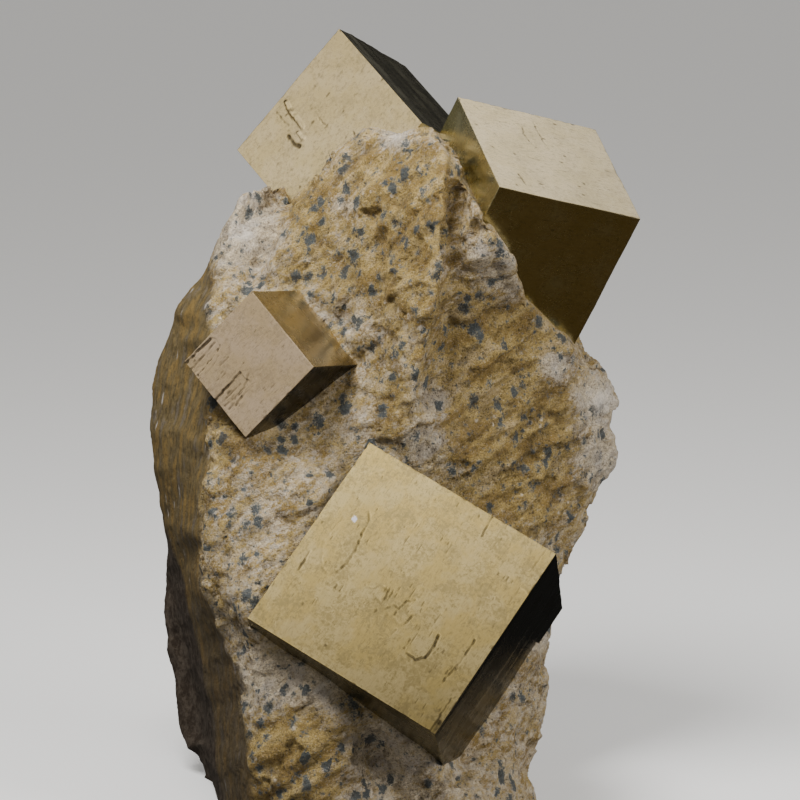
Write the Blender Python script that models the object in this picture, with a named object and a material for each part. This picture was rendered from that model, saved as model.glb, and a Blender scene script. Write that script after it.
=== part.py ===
"""Pyrite cubes on matrix: four brassy cubes grown on a broken, upright piece of pale rock.

Metres, +Z up, the rock resting on the flat face that it was sawn or broken to.
Places are given as they are seen in an 800 by 800 picture of the specimen, taken from 10 degrees
above level: across, down, and how far behind the plane through the large cube's top corner, all
in the same unit. One driving dimension, the edge of the large cube, turns that unit into metres.
"""
import math

import bmesh
import bpy
import numpy as np
from mathutils import Euler, Matrix, Vector, noise
from mathutils.geometry import delaunay_2d_cdt

# Driving dimensions, in metres and degrees
LARGE_EDGE = 0.0360           # edge of the large cube, the longest one on the rock
LARGE_EDGE_SEEN = 220.0       # the same edge, in picture units
UNIT = LARGE_EDGE / LARGE_EDGE_SEEN
EYE_DISTANCE = 4000.0         # picture units from the eye to the plane through the large cube
EYE_ELEVATION = 10.0
PICTURE_MIDDLE = 400.0
BASE_SEEN = (850.0, -40.0)    # down and behind, for the front of the face that the rock rests on
CONTACT_GAP = 0.0003          # between a cube and the pocket that it grew in

# The cubes: where the corner nearest the top is seen, how the three edges that leave it are
# turned, in degrees about X, Y and Z, and how long they are, in metres
CUBES = {
    "pyrite_cube_top_left": ((339.0, 27.4, 195.0), (-116.2, 31.9, -52.1), (0.0273, 0.0281, 0.0203)),
    "pyrite_cube_top_right": ((457.2, 96.1, 92.0), (-151.2, 14.3, 23.7), (0.0268, 0.0268, 0.0276)),
    "pyrite_cube_small": ((251.6, 290.8, -31.0), (-99.9, 43.3, -32.7), (0.0167, 0.0171, 0.0169)),
    "pyrite_cube_large": ((369.3, 441.8, 0.0), (-124.8, 26.1, -22.3), (0.0364, 0.0357, 0.0286)),
}
# Growth steps on the front faces, in metres from the top corner along the first and the second
# edge: from, to, from, to, and how deep the step is; a negative depth stands proud of the face
GROWTH_STEPS = {
    "pyrite_cube_top_left": [
        (0.0021, 0.0081, 0.0154, 0.0165, -0.0004),
        (0.0082, 0.0103, 0.0161, 0.0172, -0.0002),
    ],
    "pyrite_cube_small": [
        (0.0007, 0.0030, 0.0103, 0.0175, 0.0003),
        (0.0085, 0.0105, 0.0102, 0.0175, 0.0003),
    ],
    "pyrite_cube_large": [
        (0.0352, 0.0368, 0.0290, 0.0361, 0.0004),
    ],
}

# The rock's outline as it is seen, clockwise from the pale lobe at the top left; the stretches
# behind the top cubes and below the base are guessed
OUTLINE = [
    (237, 194, 112), (250, 188, 118), (262, 189, 140), (275, 188, 190), (286, 168, 240),
    (302, 142, 270), (328, 116, 285), (360, 106, 292), (400, 106, 290), (428, 116, 286),
    (448, 130, 283), (475, 150, 280), (508, 178, 272), (545, 210, 262), (574, 245, 245),
    (592, 275, 225), (586, 308, 200),
    (579, 336, 176), (588, 352, 170), (605, 366, 168), (609, 380, 172), (614, 400, 176),
    (612, 428, 180), (618, 451, 184), (619, 469, 188), (604, 487, 186), (596, 502, 182),
    (589, 528, 178), (576, 548, 172), (562, 580, 160), (556, 612, 148), (556, 640, 138),
    (549, 663, 134), (550, 688, 136), (548, 714, 134), (542, 729, 130), (545, 738, 128),
    (536, 752, 125), (530, 775, 122), (537, 788, 122), (539, 805, 120), (536, 850, 118),
    (534, 905, 118), (460, 905, 120), (380, 905, 125), (290, 905, 140), (214, 905, 215),
    (212, 850, 216), (209, 805, 220), (203, 778, 226), (197, 757, 231), (186, 752, 232),
    (178, 730, 240), (172, 700, 245), (166, 650, 247), (162, 612, 246), (164, 585, 244),
    (163, 552, 230), (160, 521, 200), (156, 492, 186), (149, 461, 180), (147, 425, 185),
    (150, 388, 186), (158, 357, 180), (170, 321, 170), (179, 301, 162), (201, 275, 142),
    (217, 237, 122),
]

# Lines and spots of the front, each point across, down and behind
FRONT_LINES = {
    "crest in front of the top left cube": [
        (289, 217, 98), (296, 204, 96), (319, 179, 93), (329, 158, 90), (352, 139, 86),
        (365, 128, 78), (383, 129, 60), (400, 133, 40), (419, 133, 22), (433, 137, 6), (447, 154, -14),
    ],
    "back of that crest": [
        (286, 208, 190), (291, 198, 205), (313, 172, 210), (323, 153, 210), (348, 134, 210),
        (364, 122, 205), (383, 122, 195), (401, 126, 180), (421, 126, 160), (438, 131, 150),
    ],
    "sharp ridge down the middle": [
        (447, 154, -14), (446, 179, -26), (442, 204, -35), (441, 230, -41), (442, 253, -42),
        (436, 281, -41), (433, 319, -37), (422, 357, -28), (417, 383, -20), (405, 440, -2),
    ],
    "trough beside the ridge": [
        (455, 195, 18), (453, 250, 0), (450, 300, 14), (444, 350, 42), (434, 400, 40),
    ],
    "rim in front of the top right cube": [
        (447, 154, -14), (461, 181, 2), (471, 195, -12), (483, 217, -32), (498, 242, -16),
        (511, 265, 8), (528, 304, 48), (543, 319, 66), (556, 332, 82), (574, 350, 100),
    ],
    "back of that rim": [
        (456, 151, 150), (468, 176, 150), (479, 189, 150), (491, 211, 140), (506, 237, 140),
        (519, 260, 150), (536, 296, 165), (549, 312, 175), (562, 326, 180),
    ],
    "step from the ridge back to the lobe": [
        (289, 217, 98), (281, 237, 92), (270, 265, 84), (265, 281, 78),
    ],
    "inner edge of the lobe": [
        (281, 214, 124), (273, 237, 114), (263, 262, 106), (254, 280, 96),
    ],
    "front edge of the left face": [
        (241, 198, 104), (225, 227, 94), (217, 263, 88), (215, 293, 76), (212, 332, 56),
        (212, 380, 35), (213, 451, 5), (205, 484, -5), (204, 543, -10), (205, 589, -8),
        (217, 619, 13), (230, 638, 5), (240, 668, -13), (247, 706, -20), (250, 739, -22),
        (250, 783, -20), (250, 850, -15), (250, 893, -15),
    ],
    "left face against the piece behind it": [
        (164, 524, 162), (172, 543, 150), (179, 558, 140), (190, 612, 125), (201, 658, 115),
        (209, 711, 105), (216, 757, 98), (222, 798, 92), (226, 850, 85), (228, 893, 82),
    ],
    "piece behind the left face": [
        (169, 570, 225), (181, 620, 225), (192, 668, 220), (200, 715, 215), (207, 762, 210),
        (214, 803, 205), (219, 850, 200), (220, 895, 200),
    ],
    "contact under the small cube": [
        (358, 362, 34), (334, 381, 27), (314, 399, 28), (292, 415, 24), (272, 430, 20),
        (253, 438, -8), (243, 441, -18),
    ],
    "contact left of the large cube": [
        (369, 446, 12), (350, 468, 6), (330, 495, -3), (310, 524, -11), (290, 553, -21),
        (270, 582, -31), (248, 614, -38),
    ],
    "contact below the large cube": [
        (248, 627, -33), (266, 643, -30), (285, 655, -29), (303, 665, -38), (322, 676, -45),
        (349, 699, -31), (388, 728, -24), (420, 749, -24), (444, 771, -8), (465, 765, 48),
        (476, 750, 56), (486, 733, 63), (505, 708, 71), (532, 661, 77), (548, 625, 84),
    ],
    "front of the ochre block": [
        (262, 700, -30), (300, 712, -42), (338, 722, -44), (348, 752, -34), (352, 790, -30),
        (350, 850, -32), (350, 893, -32),
    ],
    "shaded hollow": [
        (372, 745, 2), (384, 775, 8), (402, 800, 10), (410, 850, 10), (412, 893, 10),
    ],
    "lower right edge": [
        (446, 792, -12), (450, 825, -16), (452, 860, -18), (452, 893, -18),
    ],
    "right chunk": [
        (566, 372, 104), (577, 400, 112), (584, 428, 122), (590, 452, 134), (584, 486, 140),
    ],
}
FRONT_SPOTS = [
    (400, 200, 0), (378, 182, 26), (340, 220, 54), (400, 260, -8), (350, 290, 38), (318, 262, 66),
    (300, 290, 70), (385, 330, 4), (382, 400, 8), (352, 420, 8), (345, 442, 4), (330, 330, 52),
    (240, 222, 104), (250, 250, 92), (235, 280, 84), (262, 210, 112),
    (260, 340, 58), (285, 380, 48), (235, 380, 40),
    (240, 470, -24), (280, 462, -12), (322, 470, -2), (298, 500, -18), (258, 505, -27),
    (228, 520, -22), (258, 556, -34), (232, 590, -26), (226, 440, -12),
    (190, 330, 122), (180, 420, 120), (178, 500, 112), (192, 560, 96), (212, 660, 62), (228, 740, 44),
    (195, 380, 95), (232, 820, 38),
    (500, 300, 36), (480, 345, 42), (520, 350, 70), (550, 395, 100), (500, 415, 66), (462, 440, 46),
    (520, 475, 88), (556, 470, 118), (545, 530, 122), (470, 400, 48), (575, 520, 150),
    (477, 262, -12), (468, 240, -20), (461, 222, -2),
    (600, 410, 146), (602, 455, 158), (590, 375, 134),
    (400, 560, 60), (350, 590, 20), (450, 640, 60), (330, 630, -10), (500, 600, 90), (400, 670, 20),
    (300, 690, -46), (332, 700, -46), (268, 672, -30), (300, 745, -46), (272, 760, -36),
    (318, 800, -44), (284, 830, -40), (430, 790, -4), (480, 790, 22), (505, 760, 56), (528, 705, 80),
    (500, 840, 28), (520, 800, 66), (525, 740, 86),
    (500, 220, 190), (540, 260, 200), (450, 145, 200), (400, 115, 225), (328, 136, 240),
]

# Lines and spots of the back, which the picture doesn't show: broken faces meeting at blunt edges
BACK_LINES = {
    "spine of the back": [
        (345, 176, 300), (352, 240, 322), (372, 330, 338), (398, 440, 344), (392, 560, 336),
        (372, 680, 326), (362, 800, 316), (360, 893, 310),
    ],
    "edge on the right of the back": [
        (520, 230, 282), (540, 330, 290), (556, 420, 292), (540, 520, 290), (512, 620, 268),
        (500, 740, 256), (488, 893, 250),
    ],
    "edge on the left of the back": [
        (262, 232, 236), (232, 320, 262), (222, 430, 286), (226, 540, 306), (232, 650, 312),
        (250, 770, 300), (262, 893, 292),
    ],
    "ledge across the back": [
        (240, 486, 284), (300, 500, 300), (350, 512, 318), (384, 520, 326),
    ],
}
BACK_SPOTS = [
    (440, 200, 306), (460, 320, 300), (474, 440, 312), (470, 560, 306), (440, 680, 290),
    (430, 800, 284), (300, 300, 306), (306, 420, 330), (300, 600, 312), (300, 720, 320),
    (306, 840, 300), (585, 420, 240), (570, 500, 232), (196, 400, 236), (190, 610, 285),
]

# The rock's surface: how far apart its points are, and the lumps that break up its faces
POINT_SPACING = 15.0          # picture units
CLEAR_SHARE = 0.62            # of the spacing, kept free around the drawn points
SAME_POINT = 0.01             # picture units
STRETCH_ROUNDS = 500
SOFTEN_ROUNDS = 2
SOFTEN_SHARE = 0.35
LUMPS = [(0.0110, 0.00080), (0.0046, 0.00050)]   # size and height of each kind of lump
LUMP_SEED = Vector((3.1, 7.7, 1.9))
WELD = 0.00006                # points closer than this are one point
GROUND_SIZE = 0.3             # of the block that cuts the base flat


def seen(across, down, behind):
    """The place of a point of the picture: along the line of sight, behind the picture plane."""
    elevation = math.radians(EYE_ELEVATION)
    spread = 1.0 + behind / EYE_DISTANCE
    right = (across - PICTURE_MIDDLE) * spread
    up = (PICTURE_MIDDLE - down) * spread
    y = up * math.sin(elevation) + behind * math.cos(elevation)
    z = up * math.cos(elevation) - behind * math.sin(elevation)
    return Vector((right, y, z)) * UNIT


def material(name, colour, roughness, metallic):
    """A plain Principled material."""
    made = bpy.data.materials.new(name)
    made.use_nodes = True
    shader = made.node_tree.nodes["Principled BSDF"]
    shader.inputs["Base Color"].default_value = (*colour, 1.0)
    shader.inputs["Roughness"].default_value = roughness
    shader.inputs["Metallic"].default_value = metallic
    made.diffuse_color = (*colour, 1.0)
    return made


def mesh_object(name, mesh, finish=None):
    """An object for a mesh, in the scene."""
    made = bpy.data.objects.new(name, mesh)
    bpy.context.collection.objects.link(made)
    if finish:
        mesh.materials.append(finish)
    return made


def block(name, low, high, matrix):
    """A closed box between two corners, in the axes of a placement."""
    bm = bmesh.new()
    bmesh.ops.create_cube(bm, size=1.0)
    low, high = Vector(low), Vector(high)
    size = high - low
    bmesh.ops.scale(bm, vec=size, verts=bm.verts)
    bmesh.ops.translate(bm, vec=(low + high) / 2, verts=bm.verts)
    bmesh.ops.transform(bm, matrix=matrix, verts=bm.verts)
    mesh = bpy.data.meshes.new(name)
    bm.to_mesh(mesh)
    bm.free()
    return mesh_object(name, mesh)


def combine(target, tool, operation):
    """Cut a tool out of an object, or join it on, and remove the tool."""
    change = target.modifiers.new("combine", "BOOLEAN")
    change.operation = operation
    change.solver = "EXACT"
    change.object = tool
    bpy.context.view_layer.update()
    evaluated = target.evaluated_get(bpy.context.evaluated_depsgraph_get())
    mesh = bpy.data.meshes.new_from_object(evaluated)
    target.modifiers.clear()
    target.data = mesh
    bpy.data.objects.remove(tool)


def cube_placement(corner, turn):
    """A cube's own axes: its corner at the origin, its three edges along X, Y and Z."""
    turned = Euler([math.radians(angle) for angle in turn]).to_matrix().to_4x4()
    return Matrix.Translation(seen(*corner)) @ turned


def pyrite_cube(name, finish):
    """One cube with its growth steps."""
    corner, turn, sides = CUBES[name]
    placement = cube_placement(corner, turn)
    cube = block(name, (0, 0, 0), sides, placement)
    cube.data.materials.append(finish)
    for first_from, first_to, second_from, second_to, depth in GROWTH_STEPS.get(name, []):
        front, back = min(-depth, depth), max(-depth, depth)
        step = block("growth_step", (first_from, second_from, front), (first_to, second_to, back), placement)
        combine(cube, step, "DIFFERENCE" if depth > 0 else "UNION")
    return cube


def spaced(line, closed=False):
    """Points along a line, about one spacing apart, keeping the points that the line is drawn with."""
    points = np.array(line, dtype=float)
    ends = np.roll(points, -1, axis=0) if closed else points[1:]
    starts = points if closed else points[:-1]
    out = []
    for start, end in zip(starts, ends):
        count = max(1, round(float(np.hypot(*(end - start)[:2])) / POINT_SPACING))
        share = np.arange(count)[:, None] / count
        out.append(start + (end - start) * share)
    if not closed:
        out.append(points[-1:])
    return np.concatenate(out)


def inside(points, loop):
    """Which points lie inside a closed loop, by counting the edges crossed on the way out."""
    ax, ay = loop[:, 0], loop[:, 1]
    bx, by = np.roll(ax, -1), np.roll(ay, -1)
    x, y = points[:, :1], points[:, 1:2]
    crosses = (ay > y) != (by > y)
    rise = np.where(by == ay, 1.0, by - ay)
    return (crosses & (x < ax + (bx - ax) * (y - ay) / rise)).sum(axis=1) % 2 == 1


def filler(loop, fixed):
    """A lattice of points inside the loop that keeps clear of the drawn points."""
    low, high = loop[:, :2].min(axis=0), loop[:, :2].max(axis=0)
    row_height = POINT_SPACING * math.sqrt(0.75)
    rows = int((high[1] - low[1]) / row_height) + 1
    columns = int((high[0] - low[0]) / POINT_SPACING) + 2
    row, column = np.mgrid[0:rows, 0:columns]
    x = low[0] + (column + 0.5 * (row % 2)) * POINT_SPACING
    y = low[1] + row * row_height
    lattice = np.stack([x.ravel(), y.ravel()], axis=1)
    lattice = lattice[inside(lattice, loop)]
    distance = np.hypot(*(lattice[:, None, :] - fixed[None, :, :2]).transpose(2, 0, 1)).min(axis=1)
    return lattice[distance > CLEAR_SHARE * POINT_SPACING]


def sheet(loop, lines, spots):
    """A skin stretched over drawn lines and spots inside a loop: its points and its triangles.

    Between the drawn points each point lies at the mean depth of its neighbours, so the faces
    stay taut and the drawn lines stay sharp.
    """
    drawn = [loop]
    edges = [(i, (i + 1) % len(loop)) for i in range(len(loop))]
    count = len(loop)
    for line in lines.values():
        points = spaced(line)
        edges += [(count + i, count + i + 1) for i in range(len(points) - 1)]
        drawn.append(points)
        count += len(points)
    drawn.append(np.array(spots, dtype=float))
    fixed = np.concatenate(drawn)
    flat = np.concatenate([fixed[:, :2], filler(loop, fixed)])
    result = delaunay_2d_cdt([Vector(p) for p in flat], edges, [], 0, SAME_POINT)
    places = np.array([tuple(p) for p in result[0]])
    triangles = np.array([tri for tri in result[2]])
    triangles = triangles[inside(places[triangles].mean(axis=1), loop)]
    known = np.full(len(places), np.nan)
    for index, sources in enumerate(result[3]):
        known[index] = min((fixed[s, 2] for s in sources if s < len(fixed)), default=np.nan)
    held = ~np.isnan(known)
    links = np.concatenate([triangles[:, [0, 1]], triangles[:, [1, 2]], triangles[:, [2, 0]]])
    links = np.concatenate([links, links[:, ::-1]])
    ways = np.maximum(np.bincount(links[:, 0], minlength=len(places)), 1)

    def neighbour_mean(depth):
        return np.bincount(links[:, 0], weights=depth[links[:, 1]], minlength=len(places)) / ways

    depth = np.where(held, known, np.nanmean(known))
    for _ in range(STRETCH_ROUNDS):
        depth = np.where(held, known, neighbour_mean(depth))
    on_line = np.array([any(s < count for s in sources) for sources in result[3]])
    for _ in range(SOFTEN_ROUNDS):
        softer = depth + SOFTEN_SHARE * (neighbour_mean(depth) - depth)
        depth = np.where(on_line, depth, softer)
    return np.column_stack([places, depth]), triangles, result[3]


def lumps(place):
    """How far the rock's lumps move a point."""
    moved = Vector((0, 0, 0))
    for size, height in LUMPS:
        moved += noise.noise_vector(place / size + LUMP_SEED) * height
    return moved


def largest_body(bm):
    """Drop the chips that the pockets cut loose, keeping the largest body."""
    bodies, seen_verts = [], set()
    for start in bm.verts:
        if start in seen_verts:
            continue
        body, waiting = [], [start]
        seen_verts.add(start)
        while waiting:
            vert = waiting.pop()
            body.append(vert)
            for edge in vert.link_edges:
                other = edge.other_vert(vert)
                if other not in seen_verts:
                    seen_verts.add(other)
                    waiting.append(other)
        bodies.append(body)
    bodies.sort(key=len)
    for body in bodies[:-1]:
        bmesh.ops.delete(bm, geom=body, context="VERTS")


def rough_rock(finish):
    """The rock before the pockets: the front and back skins on one outline."""
    loop = spaced(OUTLINE, closed=True)
    bm = bmesh.new()
    rim = [bm.verts.new(seen(*point)) for point in loop]
    for lines, spots in ((FRONT_LINES, FRONT_SPOTS), (BACK_LINES, BACK_SPOTS)):
        places, triangles, sources = sheet(loop, lines, spots)
        verts = []
        for place, source in zip(places, sources):
            on_rim = [s for s in source if s < len(rim)]
            verts.append(rim[on_rim[0]] if on_rim else bm.verts.new(seen(*place)))
        for corners in triangles:
            face = [verts[i] for i in corners]
            twin = bm.faces.get(face)
            if twin:
                bm.faces.remove(twin)     # both skins cut this corner of the outline: drop it
            else:
                bm.faces.new(face)
    bmesh.ops.delete(bm, geom=[edge for edge in bm.edges if not edge.link_faces], context="EDGES")
    bmesh.ops.delete(bm, geom=[vert for vert in bm.verts if not vert.link_edges], context="VERTS")
    for vert in bm.verts:
        vert.co += lumps(vert.co)
    bmesh.ops.recalc_face_normals(bm, faces=bm.faces)
    mesh = bpy.data.meshes.new("matrix")
    bm.to_mesh(mesh)
    bm.free()
    return mesh_object("matrix", mesh, finish)


def rock(finish):
    """The matrix: rough rock with a flat base and a pocket for each cube."""
    made = rough_rock(finish)
    base = seen(PICTURE_MIDDLE, *BASE_SEEN).z
    low = (-GROUND_SIZE / 2, -GROUND_SIZE / 2, base - GROUND_SIZE)
    high = (GROUND_SIZE / 2, GROUND_SIZE / 2, base)
    ground = block("ground", low, high, Matrix())
    combine(made, ground, "DIFFERENCE")
    for corner, turn, sides in CUBES.values():
        grown = [side + CONTACT_GAP for side in sides]
        pocket = block("pocket", [-CONTACT_GAP] * 3, grown, cube_placement(corner, turn))
        combine(made, pocket, "DIFFERENCE")
    bm = bmesh.new()
    bm.from_mesh(made.data)
    bmesh.ops.remove_doubles(bm, verts=bm.verts, dist=WELD)
    bmesh.ops.dissolve_degenerate(bm, edges=bm.edges, dist=WELD)
    largest_body(bm)
    bmesh.ops.triangulate(bm, faces=bm.faces)
    bmesh.ops.recalc_face_normals(bm, faces=bm.faces)
    bm.to_mesh(made.data)
    bm.free()
    return made


def stand_on_origin(objects):
    """Move everything so that the middle of its box stands on the origin."""
    corners = np.array([vert.co for item in objects for vert in item.data.vertices])
    low, high = corners.min(axis=0), corners.max(axis=0)
    shift = Matrix.Translation((-(low[0] + high[0]) / 2, -(low[1] + high[1]) / 2, -low[2]))
    for item in objects:
        item.data.transform(shift)


def main():
    for old in list(bpy.data.objects):
        bpy.data.objects.remove(old, do_unlink=True)
    brass = material("pyrite", (0.62, 0.50, 0.30), 0.28, 1.0)
    stone = material("matrix", (0.52, 0.43, 0.29), 0.90, 0.0)
    cubes = [pyrite_cube(name, brass) for name in CUBES]
    stand_on_origin(cubes + [rock(stone)])


main()
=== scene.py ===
"""The looks of the pyrite cubes on matrix: the rock's broken, grainy surface, the cubes' faces with
their growth lines, etched marks and satin metal, and a plain pale stage with soft light.

Marks on the faces and colour zones of the rock are placed as they are seen in an 800 by 800
picture, across and down, from an eye that looks 10 degrees down onto the specimen.
"""
import itertools
import math

import bpy
import numpy as np
from mathutils import Euler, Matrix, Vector


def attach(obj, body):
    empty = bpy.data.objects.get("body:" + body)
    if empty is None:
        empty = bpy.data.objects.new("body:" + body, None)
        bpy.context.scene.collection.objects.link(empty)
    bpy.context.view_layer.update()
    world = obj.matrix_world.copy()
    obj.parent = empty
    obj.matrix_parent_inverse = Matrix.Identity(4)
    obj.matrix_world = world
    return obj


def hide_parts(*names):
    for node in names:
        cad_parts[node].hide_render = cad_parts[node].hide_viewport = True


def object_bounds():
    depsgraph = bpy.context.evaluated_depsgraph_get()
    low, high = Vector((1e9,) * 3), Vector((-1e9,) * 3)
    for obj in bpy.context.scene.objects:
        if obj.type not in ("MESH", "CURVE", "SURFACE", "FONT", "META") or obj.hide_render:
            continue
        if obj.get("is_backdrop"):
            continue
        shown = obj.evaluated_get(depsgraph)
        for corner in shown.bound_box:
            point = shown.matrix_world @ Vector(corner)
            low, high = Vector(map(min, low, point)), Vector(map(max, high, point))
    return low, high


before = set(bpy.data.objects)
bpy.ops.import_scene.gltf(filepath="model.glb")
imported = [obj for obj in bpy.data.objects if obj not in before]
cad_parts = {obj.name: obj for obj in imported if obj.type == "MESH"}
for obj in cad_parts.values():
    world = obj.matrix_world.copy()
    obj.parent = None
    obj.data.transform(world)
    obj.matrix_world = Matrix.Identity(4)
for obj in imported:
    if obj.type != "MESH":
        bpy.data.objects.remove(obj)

bl_info = {
    "name": "Pyrite cubes on matrix",
    "version": (1, 0, 0),
    "blender": (4, 5, 0),
    "location": "3D View > Sidebar > Pyrite",
    "description": "Dresses a specimen of pyrite cubes on pale rock",
    "category": "Object",
}

CAD_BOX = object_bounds()
MM = 0.001

# The eye: what one picture unit measures on the plane through the large cube's top corner, how
# far away the eye is, and how far above level it stands
LARGE_EDGE = 0.0360
LARGE_EDGE_SEEN = 220.0
UNIT = LARGE_EDGE / LARGE_EDGE_SEEN
EYE_DISTANCE = 4000.0 * UNIT
EYE_ELEVATION = math.radians(10.0)
PICTURE_SIZE = 800.0
PICTURE_MIDDLE = PICTURE_SIZE / 2
RIGHT = np.array([1.0, 0.0, 0.0])
UP = np.array([0.0, math.sin(EYE_ELEVATION), math.cos(EYE_ELEVATION)])
FORWARD = np.array([0.0, math.cos(EYE_ELEVATION), -math.sin(EYE_ELEVATION)])
LARGE_CORNER_SEEN = (369.3, 441.8)

# The cubes: how the three edges that leave the top corner are turned, in degrees, and their lengths
TOP_LEFT = "pyrite_cube_top_left"
TOP_RIGHT = "pyrite_cube_top_right"
SMALL = "pyrite_cube_small"
LARGE = "pyrite_cube_large"
TURNS = {
    TOP_LEFT: (-116.2, 31.9, -52.1),
    TOP_RIGHT: (-151.2, 14.3, 23.7),
    SMALL: (-99.9, 43.3, -32.7),
    LARGE: (-124.8, 26.1, -22.3),
}
SIDES = {
    TOP_LEFT: (0.0273, 0.0281, 0.0203),
    TOP_RIGHT: (0.0268, 0.0268, 0.0276),
    SMALL: (0.0167, 0.0171, 0.0169),
    LARGE: (0.0364, 0.0357, 0.0286),
}


def settings():
    """The sizes and colours that the sidebar shows."""
    return bpy.context.scene.pyrite_specimen


def length_setting(name, description, default):
    """A property that holds a small length in metres."""
    return bpy.props.FloatProperty(
        name=name, description=description, default=default, unit="LENGTH", precision=5)


def colour_setting(name, description, default):
    """A property that holds a colour."""
    return bpy.props.FloatVectorProperty(
        name=name, description=description, subtype="COLOR", default=default, size=3)


class RockSettings(bpy.types.PropertyGroup):
    """Sizes and colours of the rock."""

    fine: length_setting("Fine spacing", "Longest edge of the surface where it faces the front", 0.00074)
    coarse: length_setting("Coarse spacing", "Longest edge of the surface at the back", 0.0017)
    chip_height: length_setting("Chip height", "How far the largest broken chips stand out", 0.00085)
    pale: colour_setting("Pale", "Cream to lilac white of the pale rock", (0.56, 0.46, 0.32))
    ochre: colour_setting("Ochre", "Iron-stained yellow brown", (0.31, 0.22, 0.078))
    speck: colour_setting("Specks", "Blue-grey mineral specks", (0.058, 0.076, 0.086))


class PyriteSettings(bpy.types.PropertyGroup):
    """Sizes and colours of the cubes."""

    spacing: length_setting("Face spacing", "Distance between the points of a cube's front face", 0.00017)
    edge_radius: length_setting("Edge radius", "Rounding of a cube's edges", 0.00006)
    brass: colour_setting("Brass", "Pale brass of a clean face", (0.74, 0.60, 0.32))
    roughness: bpy.props.FloatProperty(
        name="Roughness", description="Satin of the faces", default=0.2, min=0.0, max=1.0)


class StageSettings(bpy.types.PropertyGroup):
    """Floor, light and camera."""

    floor_colour: colour_setting("Floor", "Pale floor", (0.72, 0.71, 0.69))
    key_power: bpy.props.FloatProperty(
        name="Key light", description="Power of the large soft light", default=2.1, unit="POWER")
    lens: bpy.props.FloatProperty(
        name="Lens", description="Focal length in millimetres on a 36 mm sensor", default=180.0)


class SpecimenSettings(bpy.types.PropertyGroup):
    """All settings of the specimen."""

    rock: bpy.props.PointerProperty(type=RockSettings)
    pyrite: bpy.props.PointerProperty(type=PyriteSettings)
    stage: bpy.props.PointerProperty(type=StageSettings)


def cube_axes(name):
    """The directions of a cube's three edges, as the rows of an array."""
    turned = Euler([math.radians(angle) for angle in TURNS[name]]).to_matrix()
    return np.array(turned).T


def node_places(name):
    """The vertices of a CAD node, which stand where they are in the world."""
    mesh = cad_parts[name].data
    places = np.empty(len(mesh.vertices) * 3)
    mesh.vertices.foreach_get("co", places)
    return places.reshape(-1, 3)


def cube_corner(name):
    """A cube's top corner: its far corner less its sides, so growth on the front doesn't count."""
    axes = cube_axes(name)
    far = (node_places(name) @ axes.T).max(axis=0)
    return (far - np.array(SIDES[name])) @ axes


def aim_point():
    """The point of the picture's middle on the plane through the large cube's top corner."""
    across, down = LARGE_CORNER_SEEN
    corner = cube_corner(LARGE)
    return corner - UNIT * ((across - PICTURE_MIDDLE) * RIGHT - (down - PICTURE_MIDDLE) * UP)


def eye_place():
    """Where the eye stands."""
    return aim_point() - FORWARD * EYE_DISTANCE


def in_picture(places):
    """Where points are seen: across and down."""
    away = places - aim_point()
    spread = UNIT * (1.0 + away @ FORWARD / EYE_DISTANCE)
    return PICTURE_MIDDLE + (away @ RIGHT) / spread, PICTURE_MIDDLE - (away @ UP) / spread


def edge_seen(edge, down):
    """How far across a line lies at places that are seen so far down; its points are down, across."""
    points = np.array(edge, dtype=float)
    return np.interp(down, points[:, 0], points[:, 1])


def on_front_face(name, points):
    """Where picture points lie on a cube's front face, along its first and second edge, in metres."""
    corner, axes = cube_corner(name), cube_axes(name)
    points = np.array(points, dtype=float)
    eye = eye_place()
    rays = (aim_point() + UNIT * ((points[:, :1] - PICTURE_MIDDLE) * RIGHT
                                  - (points[:, 1:2] - PICTURE_MIDDLE) * UP)) - eye
    reach = ((corner - eye) @ axes[2]) / (rays @ axes[2])
    return (eye + rays * reach[:, None] - corner) @ axes[:2].T


def chance(cell, seed):
    """A number from 0 to 1 for each whole-numbered cell, the same each run: a hash of its place."""
    cell = cell.astype(np.int64).astype(np.uint32)
    mixed = cell[..., 0] * np.uint32(374761393) + cell[..., 1] * np.uint32(668265263)
    mixed = mixed + cell[..., 2] * np.uint32(2246822519) + np.uint32(seed * 3266489917 % 2**32)
    mixed = (mixed ^ (mixed >> np.uint32(13))) * np.uint32(1274126177)
    mixed = (mixed ^ (mixed >> np.uint32(16))) * np.uint32(2246822519)
    return (mixed ^ (mixed >> np.uint32(15))).astype(float) / 2**32


def cloud(places, size, seed):
    """Smooth noise from -1 to 1: chance at the corners of cells of a size, blended by the
    quintic fade 6t^5 - 15t^4 + 10t^3 along each direction."""
    scaled = places / size
    cell = np.floor(scaled)
    part = scaled - cell
    fade = part ** 3 * (part * (part * 6 - 15) + 10)
    total = np.zeros(len(places))
    for corner in itertools.product((0, 1), repeat=3):
        weight = np.prod(np.where(np.array(corner) == 1, fade, 1 - fade), axis=1)
        total += weight * chance(cell + corner, seed)
    return total * 2 - 1


def chips(places, size, seed):
    """Broken chips, about -1 to 1: each point takes the tilted plane of the nearest of the
    scattered chip middles, so planes meet in small steps."""
    scaled = places / size
    cell = np.floor(scaled)
    nearest = np.full(len(places), np.inf)
    height = np.zeros(len(places))
    for offset in itertools.product((-1, 0, 1), repeat=3):
        near = cell + offset
        middle = near + np.stack([chance(near, seed + k) for k in range(3)], axis=1)
        away = scaled - middle
        distance = (away ** 2).sum(axis=1)
        tilt = np.stack([chance(near, seed + 3 + k) for k in range(3)], axis=1) - 0.5
        plane = (away * tilt).sum(axis=1) * 1.6 + (chance(near, seed + 6) - 0.5) * 0.8
        closer = distance < nearest
        nearest = np.where(closer, distance, nearest)
        height = np.where(closer, plane, height)
    return height


def smooth_step(value, low, high):
    """0 below low, 1 above high, and 3t^2 - 2t^3 between them."""
    share = np.clip((value - low) / (high - low), 0, 1)
    return share * share * (3 - 2 * share)


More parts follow.
